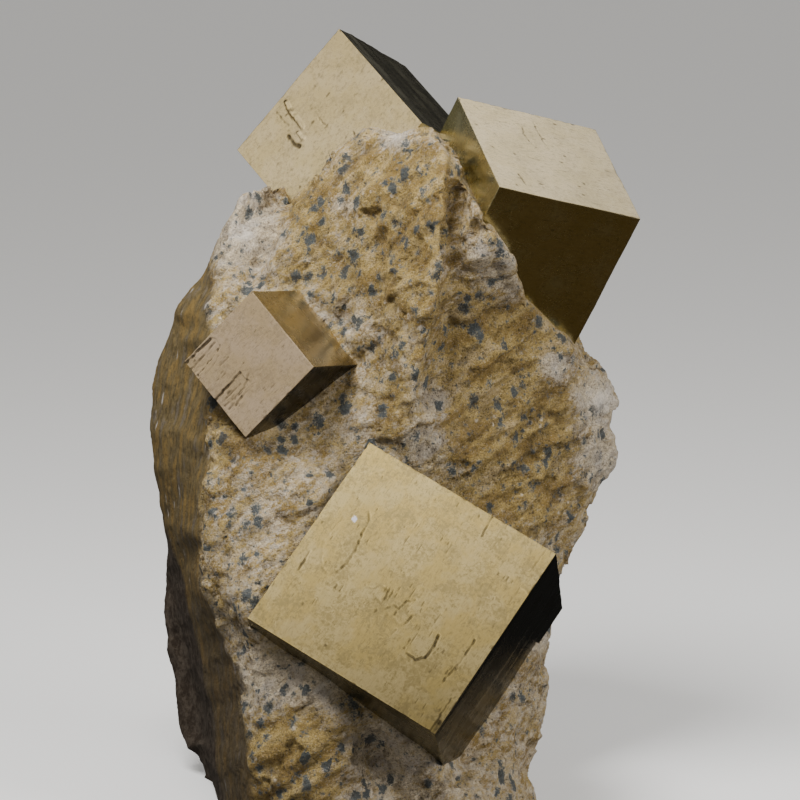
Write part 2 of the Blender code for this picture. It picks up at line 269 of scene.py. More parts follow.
def box_distance(places, name):
    """Signed distance of points to a cube's faces in metres, below 0 inside it."""
    axes = cube_axes(name)
    half = np.array(SIDES[name]) / 2
    middle = cube_corner(name) + half @ axes
    outside = np.abs((places - middle) @ axes.T) - half
    return np.linalg.norm(np.maximum(outside, 0), axis=1) + np.minimum(outside.max(axis=1), 0)


def placed(name, data):
    """A new object at the origin that shows some data."""
    made = bpy.data.objects.new(name, data)
    bpy.context.collection.objects.link(made)
    return made


def mesh_object(name, places, faces, material):
    """A smooth-shaded mesh object at the origin."""
    mesh = bpy.data.meshes.new(name)
    mesh.from_pydata(places.tolist(), [], faces)
    mesh.polygons.foreach_set("use_smooth", np.ones(len(mesh.polygons), dtype=bool))
    mesh.materials.append(material)
    mesh.update()
    return placed(name, mesh)


def add_attributes(made, values_by_name):
    """Store values or vectors for each point."""
    for name, values in values_by_name.items():
        kind, field = ("FLOAT", "value") if values.ndim == 1 else ("FLOAT_VECTOR", "vector")
        attribute = made.data.attributes.new(name, kind, "POINT")
        attribute.data.foreach_set(field, np.ascontiguousarray(values, dtype=np.float32).ravel())


def directed_edges(triangles):
    """The three edges of each triangle in the order of its corners, as pairs of points."""
    return np.concatenate([triangles[:, [0, 1]], triangles[:, [1, 2]], triangles[:, [2, 0]]])


def face_normals(places, triangles):
    """Area-weighted normals of triangles."""
    a, b, c = (places[triangles[:, k]] for k in range(3))
    return np.cross(b - a, c - a)


def point_normals(places, triangles):
    """Unit normals of points: the sum of their triangles' normals."""
    normals = face_normals(places, triangles)
    total = np.zeros_like(places)
    for k in range(3):
        for axis in range(3):
            total[:, axis] += np.bincount(triangles[:, k], normals[:, axis], len(places))
    return total / np.maximum(np.linalg.norm(total, axis=1, keepdims=True), 1e-12)


def refine(places, triangles, longest):
    """Split each edge that is longer than longest(middle, normal) allows at its middle.

    A triangle with one, two or three split edges becomes two, three or four triangles."""
    edges, which = np.unique(np.sort(directed_edges(triangles), axis=1), axis=0, return_inverse=True)
    which = which.reshape(3, -1).T
    middle = places[edges].mean(axis=1)
    length = np.linalg.norm(places[edges[:, 0]] - places[edges[:, 1]], axis=1)
    normals = point_normals(places, triangles)
    split = length > longest(middle, normals[edges[:, 0]] + normals[edges[:, 1]])
    if not split.any():
        return places, triangles, False
    new_index = np.where(split, len(places) + np.cumsum(split) - 1, -1)
    marks = new_index[which]
    count = (marks >= 0).sum(axis=1)
    out = [triangles[count == 0]]
    turn = np.zeros(len(triangles), dtype=int)
    one, two = count == 1, count == 2
    turn[one] = np.argmax(marks[one] >= 0, axis=1)
    turn[two] = (np.argmax(marks[two] < 0, axis=1) + 1) % 3
    order = (np.arange(3)[None, :] + turn[:, None]) % 3
    corner = np.take_along_axis(triangles, order, axis=1)
    mark = np.take_along_axis(marks, order, axis=1)
    a, b, c = corner.T
    ab, bc, ca = mark.T
    parts = {
        1: [(a, ab, c), (ab, b, c)],
        2: [(ab, b, bc), (a, ab, bc), (a, bc, c)],
        3: [(a, ab, ca), (b, bc, ab), (c, ca, bc), (ab, bc, ca)],
    }
    for splits, columns_of_parts in parts.items():
        out += [np.stack(columns, axis=1)[count == splits] for columns in columns_of_parts]
    return np.concatenate([places, middle[split]]), np.concatenate(out), True


def relax(places, triangles, free, share):
    """Move free points a share of the way to the mean of their neighbours."""
    start, end = directed_edges(triangles).T
    ways = np.maximum(np.bincount(start, minlength=len(places)), 1)
    total = np.stack([np.bincount(start, places[end, axis], len(places)) for axis in range(3)], axis=1)
    return places + (total / ways[:, None] - places) * (free * share)[:, None]


WELD_DISTANCE = 1e-7


def welded(places, triangles):
    """The same surface with each place held by one point."""
    keys, which = np.unique(np.round(places / WELD_DISTANCE).astype(np.int64), axis=0, return_inverse=True)
    which = which.ravel()
    first = np.zeros(len(keys), dtype=int)
    first[which[::-1]] = np.arange(len(places))[::-1]
    triangles = which[triangles]
    whole = (triangles != np.roll(triangles, -1, axis=1)).all(axis=1)
    return places[first], triangles[whole]


# The pockets' walls: how far from the cube, how exactly, and how exactly they face along an axis
POCKET_GAP = 0.0003
POCKET_SLACK = 0.00003
ALONG_AXIS = 0.999


def without_pockets(places, triangles):
    """Take the pockets' walls out of the rock and close each mouth with a funnel to a point
    inside the cube that fills it, where the cube hides it."""
    middles = places[triangles].mean(axis=1)
    normals = face_normals(places, triangles)
    normals /= np.maximum(np.linalg.norm(normals, axis=1, keepdims=True), 1e-15)
    for name in TURNS:
        axes = cube_axes(name)
        flat = np.abs(normals @ axes.T).max(axis=1) > ALONG_AXIS
        wall = flat & (np.abs(box_distance(middles, name) - POCKET_GAP) < POCKET_SLACK)
        cut, kept = triangles[wall], triangles[~wall]
        middles, normals = middles[~wall], normals[~wall]
        used = {tuple(pair) for pair in directed_edges(cut).tolist()}
        rim = np.array([pair for pair in used if pair[::-1] not in used])
        middle = cube_corner(name) + np.array(SIDES[name]) / 2 @ axes
        funnel = np.column_stack([rim, np.full(len(rim), len(places))])
        places = np.concatenate([places, middle[None, :]])
        added = places[funnel].mean(axis=1)
        middles = np.concatenate([middles, added])
        normals = np.concatenate([normals, np.zeros_like(added)])
        triangles = np.concatenate([kept, funnel])
    return places, triangles


# The rock's chips are drawn out along its bedding, which rises to the right as it is seen
BEDDING = 0.85 * RIGHT + 0.45 * UP + 0.27 * FORWARD
BEDDING = BEDDING / np.linalg.norm(BEDDING)
BEDDING_SQUEEZE = 0.62
# Ledges follow it: across them is down to the right, and each is this wide
ACROSS_LEDGES = 0.47 * RIGHT - 0.88 * UP
LEDGE_WIDTH = 4.6 * MM
# The ridge's sharp right edge, as it is seen: down, across; and how far the rock drops behind it
RIDGE_EDGE = [(180, 446), (204, 445), (230, 442), (264, 442), (285, 438), (321, 434), (347, 425),
              (384, 419), (408, 414), (424, 396)]
RIDGE_DROP = 1.1 * MM


def rock_relief(places, smoothness, ledged):
    """How far the rock stands out at each point: ledges that rise slowly and drop at their lower
    side, chips in three sizes, lumps and grain, with the large forms held back where the rock is
    smooth; and the part of it that is fine."""
    high = settings().rock.chip_height
    shake = np.stack([cloud(places, 2 * MM, 21 + k) for k in range(3)], axis=1) * 0.8 * MM
    along = (places @ BEDDING)[:, None] * BEDDING
    bedded = places + shake - BEDDING_SQUEEZE * along
    coarse = 1.15 * chips(bedded, 5.5 * MM, 11) + 0.35 * cloud(places, 4.0 * MM, 71)
    step = places @ ACROSS_LEDGES / LEDGE_WIDTH
    step += 0.7 * cloud(bedded, 9 * MM, 74) + 0.16 * cloud(bedded, 2 * MM, 75)
    part = step - np.floor(step)
    coarse += ledged * (0.75 * (smooth_step(part, 0.0, 0.8) - smooth_step(part, 0.84, 1.0)) - 0.3)
    fine = 0.36 * chips(bedded, 2.3 * MM, 31)
    fine += 0.16 * chips(places + shake * 0.5 - 0.4 * along, 1.15 * MM, 51)
    fine += 0.12 * cloud(places, 1.2 * MM, 72) + 0.12 * cloud(places, 0.6 * MM, 73)
    calm = 1 - 0.80 * smoothness
    return high * (coarse * (1 - 0.85 * smoothness) + fine * calm), fine * calm


# Inside the cubes the rock's surface can't be seen: how deep that starts, and the longest edges there
# and on the base
HIDDEN_DEPTH = 0.6 * MM
HIDDEN_SPACING = 6 * MM
BASE_SPACING = 4 * MM
ON_BASE = 1e-5
# Refining: rounds at most, and the first rounds that soften the CAD's facets, by what share
REFINE_ROUNDS = 9
SOFT_ROUNDS = 3
SOFTENING = 0.45
# Beside the cubes the relief is held back to this share, up to this distance
BESIDE_SHARE = 0.12
BESIDE_REACH = 2.2 * MM


def matrix_surface():
    """The rock's surface: the CAD rock with its pockets closed, refined until it is fine in front
    and coarser behind, softened, then moved along its normals by the rock's relief."""
    rock = settings().rock
    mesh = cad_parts["matrix"].data
    triangles = np.empty(len(mesh.polygons) * 3, dtype=np.int64)
    mesh.loops.foreach_get("vertex_index", triangles)
    places, triangles = welded(node_places("matrix"), triangles.reshape(-1, 3))
    places, triangles = without_pockets(places, triangles)

    def cube_distance(points):
        return np.min([box_distance(points, name) for name in TURNS], axis=0)

    def longest(middle, normal):
        front = normal @ -FORWARD > -0.25 * np.linalg.norm(normal, axis=1)
        limit = np.where(front, rock.fine, rock.coarse)
        limit = np.where(middle[:, 2] < ON_BASE, BASE_SPACING, limit)
        return np.where(cube_distance(middle) < -HIDDEN_DEPTH, HIDDEN_SPACING, limit)

    for round_number in range(REFINE_ROUNDS):
        places, triangles, changed = refine(places, triangles, longest)
        if round_number < SOFT_ROUNDS:
            free = (places[:, 2] > ON_BASE) & (cube_distance(places) >= -HIDDEN_DEPTH)
            places = relax(places, triangles, free.astype(float), SOFTENING)
        if not changed:
            break
    normals = point_normals(places, triangles)
    zones = matrix_zones(places, normals)
    beside = cube_distance(places)
    rise = smooth_step(places[:, 2], ON_BASE, 1.5 * MM)
    rise *= BESIDE_SHARE + (1 - BESIDE_SHARE) * smooth_step(beside, 0.2 * MM, BESIDE_REACH)
    pale_part = 0.35 * smooth_step(-zones["ochre"], -0.25, 0.25)
    smoothness = np.maximum(zones["streaked"], np.maximum(0.5 * zones["plate_and_painted_shade"], pale_part))
    height, fine = rock_relief(places, smoothness, smooth_step(zones["ochre"], 0.5, 0.9))
    height -= RIDGE_DROP * zones.pop("drop")
    places = places + normals * (height * rise * (beside >= -HIDDEN_DEPTH))[:, None]
    places[:, 2] = np.maximum(places[:, 2], 0.0)
    zones["raised"] = fine
    return places, triangles, zones


class Value:
    """A number in a shader: arithmetic on it adds Math nodes."""

    def __init__(self, shader, socket):
        self.shader = shader
        self.socket = socket

    def maths(self, operation, first, second):
        made = self.shader.node("ShaderNodeMath", {"operation": operation}, first, second)
        return Value(self.shader, made)

    def __add__(self, other):
        return self.maths("ADD", self, other)

    def __sub__(self, other):
        return self.maths("SUBTRACT", self, other)

    def __rsub__(self, other):
        return self.maths("SUBTRACT", other, self)

    def __mul__(self, other):
        return self.maths("MULTIPLY", self, other)

    def ramp(self, low, high):
        """0 at low, 1 at high, smooth between; with low above high it falls instead."""
        if low > high:
            return 1.0 - self.ramp(high, low)
        smooth = {"interpolation_type": "SMOOTHSTEP"}
        return Value(self.shader, self.shader.node("ShaderNodeMapRange", smooth, self, low, high, 0.0, 1.0))

    def clamp(self):
        """No less than 0 and no more than 1."""
        return self.maths("MAXIMUM", self.maths("MINIMUM", self, 1.0), 0.0)


class Shader:
    """A material or a world under construction, and the node that ends it."""

    def __init__(self, owner, last="Principled BSDF"):
        self.owner = owner
        owner.use_nodes = True
        self.tree = owner.node_tree
        self.last = self.tree.nodes[last]

    def node(self, kind, options, *inputs, output=0, **named):
        """Add a node: its options first, then its sockets in order or by name; returns an output."""
        made = self.tree.nodes.new(kind)
        for key, value in options.items():
            setattr(made, key, value)
        for socket, value in zip(made.inputs, inputs):
            self.feed(socket, value)
        for key, value in named.items():
            self.feed(made.inputs[key], value)
        return made.outputs[output]

    def vector_maths(self, operation, first, second, output=0, **named):
        """Add a Vector Math node."""
        options = {"operation": operation}
        return self.node("ShaderNodeVectorMath", options, first, second, output=output, **named)

    def feed(self, socket, value):
        """Link or set one socket; a colour needs no alpha."""
        if isinstance(value, Value):
            value = value.socket
        if isinstance(value, bpy.types.NodeSocket):
            self.tree.links.new(value, socket)
        elif value is not None:
            socket.default_value = (*value, 1.0) if socket.type == "RGBA" else value

    def set(self, name, value):
        """Feed a socket of the last node."""
        self.feed(self.last.inputs[name], value)

    def place(self):
        """Object coordinates, in metres."""
        return self.node("ShaderNodeTexCoord", {}, output=3)

    def attribute(self, name, vector=False):
        """A value or a vector that the mesh holds."""
        socket = self.node("ShaderNodeAttribute", {"attribute_name": name}, output=1 if vector else 2)
        return socket if vector else Value(self, socket)

    def stretched(self, vector, scale, rotation=(0.0, 0.0, 0.0)):
        """Coordinates scaled along each axis, so a pattern is squeezed by that much."""
        return self.node("ShaderNodeMapping", {}, Vector=vector, Scale=scale, Rotation=rotation)

    def dot(self, vector, direction):
        """How far a vector goes along a direction."""
        return Value(self, self.vector_maths("DOT_PRODUCT", vector, tuple(direction), output=1))

    def squeezed(self, vector, direction, share):
        """Coordinates with a share of their way along a direction taken out, so a pattern is drawn
        out along it."""
        along = self.dot(vector, direction) * share
        part = self.vector_maths("SCALE", tuple(direction), None, Scale=along)
        return self.vector_maths("SUBTRACT", vector, part)

    def bent(self, vector, scale, amount):
        """Coordinates shaken by noise, which makes outlines ragged."""
        shake = self.node("ShaderNodeTexNoise", {}, Vector=vector, Scale=scale, Detail=3.0, output=1)
        centred = self.vector_maths("SUBTRACT", shake, (0.5, 0.5, 0.5))
        scaled = self.vector_maths("SCALE", centred, None, Scale=amount)
        return self.vector_maths("ADD", vector, scaled)

    def noise(self, vector, scale, detail=4.0, roughness=0.55, distortion=0.0):
        """Noise from 0 to 1, about 0.5 in the middle; distortion curls it into fibres."""
        return Value(self, self.node("ShaderNodeTexNoise", {}, Vector=vector, Scale=scale, Detail=detail,
                                     Roughness=roughness, Distortion=distortion))

    def cells(self, vector, scale, output=0):
        """Distance to the nearest scattered point, or that point's own random colour."""
        return self.node("ShaderNodeTexVoronoi", {}, Vector=vector, Scale=scale, output=output)

    def mix(self, share, first, second):
        """A colour between two, by a share."""
        made = self.tree.nodes.new("ShaderNodeMix")
        made.data_type = "RGBA"
        for socket, value in ((made.inputs[0], share), (made.inputs[6], first), (made.inputs[7], second)):
            self.feed(socket, value)
        return made.outputs[2]

    def bump(self, height, distance, strength):
        """Tilt the surface's normal by a height, in metres."""
        bump = self.node("ShaderNodeBump", {}, Height=height, Distance=distance, Strength=strength)
        self.set("Normal", bump)


def colour(values, strength=1.0):
    """A colour made lighter or darker by a strength."""
    return tuple(min(1.0, float(value) * strength) for value in values)


def specks(shader, place, scale, low, high, fill, softness):
    """Scattered blots: near the scattered points, where a point's own chance is under fill, with
    a radius between low and high, in cells."""
    distance = Value(shader, shader.cells(place, scale))
    random = shader.cells(place, scale, output=1)
    own, other = (
        Value(shader, shader.node("ShaderNodeSeparateColor", {}, random, output=k)) for k in (0, 1))
    radius = other * (high - low) + low
    inside = (radius - distance).ramp(0.0, softness)
    return inside * (fill - own).ramp(0.0, 0.06)


def rock_material():
    """Marl: pale crystalline ground marbled with ochre by zone, blue-grey specks, grain, pores, and painted
    shade in the hollows and on the lower left face.
    """
    rock = settings().rock
    shader = Shader(bpy.data.materials.new("marl"))
    noise, mix, bent = shader.noise, shader.mix, shader.bent
    attribute, stretched = shader.attribute, shader.stretched
    place = shader.place()
    bedded = shader.squeezed(place, BEDDING, 0.55)
    zone = attribute("ochre")
    raised = attribute("raised")
    # The ground: pale and ochre, marbled along the bedding
    marbling = noise(bent(bedded, 700, 0.0018), 680, 6, 0.70)
    patches = noise(place, 150, 4, 0.6)
    mottling = noise(bedded, 1500, 4, 0.7)
    curls = noise(bedded, 1900, 4, 0.62, 2.2)
    stain = zone + (marbling - 0.5) * 1.9 + (patches - 0.5) * 0.7
    stain = (stain + (mottling - 0.5) * 1.2 + (curls - 0.5) * 1.3).ramp(0.08, 0.66)
    pale = mix(curls.ramp(0.30, 0.66), colour(rock.pale, 0.50), colour(rock.pale, 1.15))
    lilac = noise(place, 320, 3).ramp(0.46, 0.62)
    pale = mix(lilac * 0.5, pale, (0.42, 0.37, 0.32))
    bleached = (zone + (marbling - 0.5) * 0.9 + (patches - 0.5) * 0.9).ramp(-0.08, -0.50)
    pale = mix(bleached * 0.60, pale, (0.70, 0.64, 0.56))
    rust = noise(bent(bedded, 400, 0.002), 330, 5, 0.62)
    ochre = mix(rust.ramp(0.44, 0.60), colour(rock.ochre, 1.18), (0.225, 0.146, 0.045))
    ochre = mix(rust.ramp(0.36, 0.46), (0.42, 0.31, 0.15), ochre)
    ochre = mix(curls.ramp(0.32, 0.52), colour(rock.ochre, 0.48), ochre)
    ground = mix(stain, pale, ochre)
    white = specks(shader, bent(place, 1500, 0.0006), 640, 0.05, 0.36, 0.30, 0.30)
    ground = mix(white * 0.6, ground, (0.64, 0.57, 0.47))
    salt = noise(place, 4300, 3, 0.7)
    ground = mix(salt.ramp(0.56, 0.70) * 0.45, ground, (0.62, 0.55, 0.47))
    # The specks: three sizes in clusters, ragged, paler towards their edges
    clusters = noise(place, 230, 2, 0.5).ramp(0.38, 0.62)
    ragged = bent(bent(place, 900, 0.0014), 3000, 0.0011)
    long_place = stretched(ragged, (1, 1, 0.72))
    crowd = clusters * 0.36 + zone.clamp() * 0.42 + 0.06
    blots = specks(shader, long_place, 500, 0.26, 0.80, crowd, 0.50)
    shaken = bent(place, 1900, 0.0009)
    middling = specks(shader, shaken, 880, 0.18, 0.66, clusters * 0.60 + 0.14, 0.45)
    shaken = bent(place, 2600, 0.0006)
    small = specks(shader, shaken, 1500, 0.16, 0.62, clusters * 0.60 + 0.26, 0.40)
    grain = noise(place, 3600, 5, 0.7)
    spotted = (blots * 1.10 + middling * 0.80 + small * 0.55).clamp()
    grey = (spotted + (grain - 0.5) * 2.2 + (curls - 0.5) * 1.3).ramp(0.14, 0.98)
    core = (spotted + (grain - 0.5) * 2.2).ramp(0.30, 0.90)
    speck = mix(core, colour(rock.speck, 2.6), colour(rock.speck, 0.85))
    ground = mix(grey * (0.92 - bleached * 0.45), ground, speck)
    # The face on the left, drawn out in streaks, and the brown plate behind it, whose brown also darkens
    # that face towards the bottom as painted shade
    drawn_out = stretched(bent(place, 500, 0.0010), (1, 1, 0.36), (0, 0.12, 0))
    streaks = noise(drawn_out, 1300, 4, 0.62)
    broad = noise(drawn_out, 420, 4, 0.6)
    flecks = specks(shader, drawn_out, 700, 0.10, 0.42, 0.34, 0.25)
    brown = mix(streaks.ramp(0.34, 0.58), (0.066, 0.048, 0.021), (0.122, 0.090, 0.040))
    brown = mix(broad.ramp(0.48, 0.62) * 0.75, brown, (0.190, 0.122, 0.038))
    brown = mix(broad.ramp(0.44, 0.34) * 0.5, brown, (0.12, 0.105, 0.090))
    brown = mix(flecks * 0.8, brown, (0.38, 0.345, 0.31))
    streaked = attribute("streaked")
    ground = mix(streaked, ground, brown)
    plate_brown_and_painted_shade = mix(marbling.ramp(0.40, 0.62), (0.026, 0.018, 0.012), (0.074, 0.058, 0.043))
    ground = mix(attribute("plate_and_painted_shade"), ground, plate_brown_and_painted_shade)
    # Pores, painted shade in the hollows of the fine relief, and the fine relief
    pores = noise(place, 2600, 3, 0.6)
    painted_hollow_shade = raised.ramp(0, -0.24)
    pores_and_painted_shade = (painted_hollow_shade * 0.4 + pores.ramp(0.47, 0.33) * 0.55).clamp() * (1 - bleached * 0.5)
    ground = mix(pores_and_painted_shade, ground, (0.045, 0.033, 0.02))
    shader.set("Base Color", ground)
    shader.set("Roughness", mottling * 0.35 + 0.60)
    shader.set("Specular IOR Level", 0.3)
    coarse = noise(place, 1300, 4, 0.62)
    calm = 1 - streaked * 0.8
    fibres = noise(stretched(place, (1, 1, 0.4), (0, 0.9, 0)), 2300, 4, 0.66)
    height = (grain * 0.4 + coarse * 0.7 + marbling * 0.5 + curls * 0.6 + fibres * 0.6) * calm
    shader.bump(height, 0.0006, 0.85)
    return shader.owner


# Where the rock is ochre or pale as it is seen: across, down, radius and how ochre
OCHRE_ZONES = [
    (375, 175, 45, 0.50), (420, 190, 40, 0.50), (310, 200, 30, 0.40), (400, 260, 70, 0.50),
    (300, 250, 45, 0.35), (345, 205, 20, -0.62), (370, 178, 16, -0.55), (395, 137, 20, -0.9),
    (250, 230, 45, -0.75), (340, 315, 35, -0.10), (482, 255, 26, -0.42), (465, 200, 22, -0.12),
    (505, 285, 22, -0.38), (500, 350, 60, 0.65), (550, 420, 45, 0.5), (520, 480, 60, 0.6),
    (470, 420, 35, 0.35), (425, 440, 25, -0.3), (438, 402, 14, -0.5), (552, 368, 18, -0.9),
    (600, 400, 30, -0.9), (600, 460, 30, -0.7), (300, 470, 60, -0.06), (260, 520, 50, -0.02),
    (390, 400, 25, 0.4), (235, 470, 25, -0.1), (280, 680, 35, -0.7), (325, 690, 25, -0.7),
    (285, 745, 45, 0.75), (290, 800, 50, 0.6), (390, 760, 50, -0.4), (480, 790, 50, -0.1),
    (540, 700, 30, -0.1), (540, 640, 20, -0.4), (180, 420, 90, 0.45),
]
OCHRE_GROUND = 0.42
# The front edge of the streaked face on the left, as it is seen: down, across
LEFT_FACE_EDGE = [(175, 237), (217, 222), (263, 214), (332, 209), (451, 208), (543, 200), (589, 202),
                  (619, 215), (668, 238), (739, 249), (900, 249)]
# The seam of the plate behind that face: down, across
PLATE_EDGE = [(500, 160), (524, 166), (570, 180), (620, 193), (668, 204), (715, 212),
              (800, 224), (900, 230)]


def matrix_zones(places, normals):
    """For each point: how ochre it is, from the zones; how streaked, on the side that faces left;
    how much it takes the plate's brown: on the brown plate behind that side, and as painted shade
    on that side's lower part, more towards the bottom; and how far it drops behind the ridge's right edge."""
    across, down = in_picture(places)
    ochre = np.full(len(places), OCHRE_GROUND)
    facing = smooth_step(normals @ -FORWARD, -0.2, 0.2)
    for x, y, radius, amount in OCHRE_ZONES:
        near = np.exp(-((across - x) ** 2 + (down - y) ** 2) / (2 * (0.6 * radius) ** 2))
        ochre += amount * near * facing
    ochre += 0.2 * cloud(places, 14 * MM, 91) * (1 - facing)
    ragged = 3.0 * cloud(places, 5 * MM, 96) + 2.0 * cloud(places, 1.5 * MM, 97)
    left = smooth_step(edge_seen(LEFT_FACE_EDGE, down) + ragged - across, -3, 5)
    left *= smooth_step(-normals[:, 0], -0.15, 0.25)
    shake = 2.5 * cloud(places, 4 * MM, 95) + 9.0 * (1 - facing) * cloud(places, 7 * MM, 98)
    plate_and_painted_shade = smooth_step(edge_seen(PLATE_EDGE, down) + shake - across, -1.5, 2.5)
    plate_and_painted_shade *= smooth_step(down + 4 * shake, 500, 548)
    plate_and_painted_shade *= smooth_step(-normals[:, 0] + facing + 0.3 * cloud(places, 5 * MM, 99), 0.0, 0.4)
    # Painted shade: the streaked face takes the plate's dark brown more and more towards the bottom
    plate_and_painted_shade = np.maximum(plate_and_painted_shade, 0.55 * left * smooth_step(down + 3 * shake, 520, 700))
    past = across - edge_seen(RIDGE_EDGE, down) + 2.2 * cloud(places, 3 * MM, 92)
    drop = smooth_step(past, -1, 3) * (1 - smooth_step(past, 8, 42)) * facing
    drop *= smooth_step(down, 165, 215) * (1 - smooth_step(down, 400, 428))
    return {"ochre": ochre, "streaked": left, "plate_and_painted_shade": plate_and_painted_shade, "drop": drop}


# Marks on the cubes' front faces: how wide and how deep in millimetres, a depth below 0 standing
# proud, then the points of the line as they are seen, across and down in turn
MARKS = {
    LARGE: [
        (0.13, 0.14, 369, 511, 369, 518, 367, 525, 362, 534),
        (0.13, 0.26, 362, 534, 356, 549, 347, 563, 337, 572),
        (0.16, 0.06, 337, 572, 328, 574, 322, 567, 321, 552, 324, 540),
        (0.14, 0.04, 324, 540, 334, 527, 346, 515, 357, 508),
        (0.11, 0.34, 310, 551, 298, 570),
        (0.10, 0.10, 297, 577, 288, 588),
        (0.16, 0.12, 268, 588, 262, 596),
        (0.30, 0.30, 434, 731, 440, 722),
        (0.11, 0.16, 367, 587, 375, 589, 380, 585, 389, 591),
        (0.12, 0.18, 385, 609, 394, 605, 399, 609, 407, 601, 416, 600),
        (0.13, 0.18, 405, 624, 411, 617, 418, 613),
        (0.10, 0.14, 434, 623, 441, 614),
        (0.14, 0.34, 439, 635, 433, 648, 426, 657),
        (0.15, 0.24, 426, 657, 416, 660, 407, 653),
        (0.13, 0.20, 404, 648, 409, 642),
        (0.11, 0.24, 475, 640, 460, 662, 440, 685),
        (0.10, 0.26, 493, 516, 481, 537),
        (0.10, 0.16, 546, 549, 533, 568),
        (0.10, 0.16, 521, 586, 508, 604),
        (0.09, 0.12, 396, 629, 374, 653),
        (0.10, 0.12, 325, 621, 318, 630),
        (0.30, 0.06, 378, 598, 388, 615, 398, 622),
        (0.30, 0.06, 408, 604, 402, 615),
    ],
    TOP_LEFT: [
        (0.40, -0.35, 286, 103, 290, 111, 296, 118, 302, 127),
        (0.35, -0.25, 298, 133, 303, 139),
        (0.30, 0.45, 288, 136, 293, 143, 299, 146),
        (0.14, 0.20, 276, 112, 281, 118, 288, 125),
        (0.12, 0.16, 284, 103, 286, 110, 292, 119),
        (0.11, 0.16, 318, 116, 322, 122, 328, 127),
        (0.16, 0.20, 353, 132, 355, 139),
    ],
    TOP_RIGHT: [
        (0.13, 0.14, 522, 126, 524, 133, 530, 141),
        (0.10, 0.16, 533, 122, 538, 131, 546, 145),
        (0.11, 0.18, 519, 174, 526, 184),
        (0.12, 0.12, 468, 109, 472, 113),
        (0.12, 0.10, 488, 143, 494, 147),
        (0.45, 0.35, 617, 166, 624, 180),
        (0.10, 0.04, 560, 145, 572, 152),
    ],
    SMALL: [
        (0.13, 0.42, 184, 365, 197, 352, 210, 339),
        (0.09, 0.20, 190, 370, 205, 354, 215, 342),
        (0.10, 0.22, 197, 376, 210, 360, 221, 345),
        (0.08, 0.14, 201, 379, 214, 364, 219, 355),
        (0.12, 0.42, 215, 400, 228, 386, 240, 373),
        (0.08, 0.20, 220, 404, 233, 391, 240, 384),
        (0.11, 0.24, 224, 406, 236, 396, 243, 388, 249, 374),
        (0.08, 0.16, 229, 404, 241, 393, 247, 384),
        (0.13, 0.20, 235, 406, 241, 398, 246, 392),
        (0.11, 0.16, 228, 410, 234, 403),
        (0.07, 0.12, 219, 366, 229, 357),
    ],
}
# Terraces on the front faces, in millimetres: from, to along the first edge; from along the second
# edge, from where they run on to the far edge; depth
TERRACES = {
    SMALL: [(0.7, 2.9, 10.4, 0.14), (8.6, 10.4, 10.6, 0.16), (10.4, 12.0, 13.0, 0.07)],
    LARGE: [(35.4, 40.0, 29.0, 0.14), (34.6, 40.0, 8.0, 0.04)],
    TOP_LEFT: [(-1.0, 1.1, 14.0, 0.05)],
    TOP_RIGHT: [],
}
TERRACE_RISER = 0.09 * MM
# Painted light and shade on the side walls, mostly darker reflections: how bright they are where the first
# edge starts, where it ends, the same for the second
PAINTED_WALL_SHADES = {
    LARGE: (0.8, 0.14, 0.8, 0.42),
    TOP_LEFT: (0.8, 0.8, 0.22, 0.8),
    TOP_RIGHT: (1.25, 1.0, 1.0, 0.90),
    SMALL: (0.8, 0.08, 1.04, 0.6),
}
# Painted reflection colour on the walls, less warm than on the faces: red, green and blue
PAINTED_WALL_REFLECTION_TINT = (0.90, 1.03, 1.10)
# Where fine dashes crowd on the front faces as they are seen: across, down, radius, how much
DASHES = {
    LARGE: [
        (402, 600, 17, 0.9), (378, 588, 9, 0.7), (425, 640, 14, 0.5), (440, 690, 16, 0.7),
        (430, 715, 12, 0.8), (505, 600, 12, 0.5), (485, 640, 12, 0.4), (330, 600, 20, 0.2),
        (470, 520, 22, 0.2), (400, 540, 26, 0.15), (350, 520, 12, 0.3),
    ],
    TOP_LEFT: [(290, 108, 12, 0.4), (322, 120, 10, 0.5), (345, 100, 14, 0.2), (395, 110, 12, 0.3),
               (268, 158, 12, 0.45), (284, 178, 11, 0.55), (304, 148, 12, 0.35)],
    TOP_RIGHT: [(535, 135, 16, 0.5), (590, 180, 20, 0.3), (520, 175, 12, 0.4), (480, 110, 10, 0.4)],
    SMALL: [(215, 375, 12, 0.7), (232, 395, 9, 0.7), (270, 380, 12, 0.3)],
}
# Steps on the side walls: how many, and how deep all together in millimetres
WALL_STEPS = {
    LARGE: (7, 0.14), TOP_LEFT: (16, 0.30),
    TOP_RIGHT: (9, 0.10), SMALL: (4, 0.06),
}
# How much finer the growth lines are along each edge, and the tint of each cube's faces, which also makes
# some cubes lighter than others as painted light
LINE_SQUEEZE = {
    LARGE: (1.0, 0.16, 0.5), TOP_LEFT: (0.30, 0.16, 1.0),
    TOP_RIGHT: (0.16, 0.5, 1.0), SMALL: (1.0, 0.16, 0.5),
}
TINTS_AND_PAINTED_LIGHT = {
    LARGE: (1.02, 0.98, 0.84), TOP_LEFT: (1.22, 1.20, 1.24),
    TOP_RIGHT: (1.10, 1.13, 1.30), SMALL: (0.98, 0.92, 1.12),
}
# How cloudy each cube's faces are
CLOUDS = {
    LARGE: 1.0, TOP_LEFT: 0.55, TOP_RIGHT: 0.40, SMALL: 0.60,
}
# Painted light and shade on each front face: how bright it is at its top corner, at the end of the first
# edge, at the end of the second edge and at the opposite corner
PAINTED_FACE_SHADES = {
    LARGE: (1.32, 0.98, 0.74, 0.32), TOP_LEFT: (0.94, 1.01, 1.01, 1.08),
    TOP_RIGHT: (1.14, 0.90, 1.06, 0.80), SMALL: (1.05, 1.0, 1.0, 0.95),
}


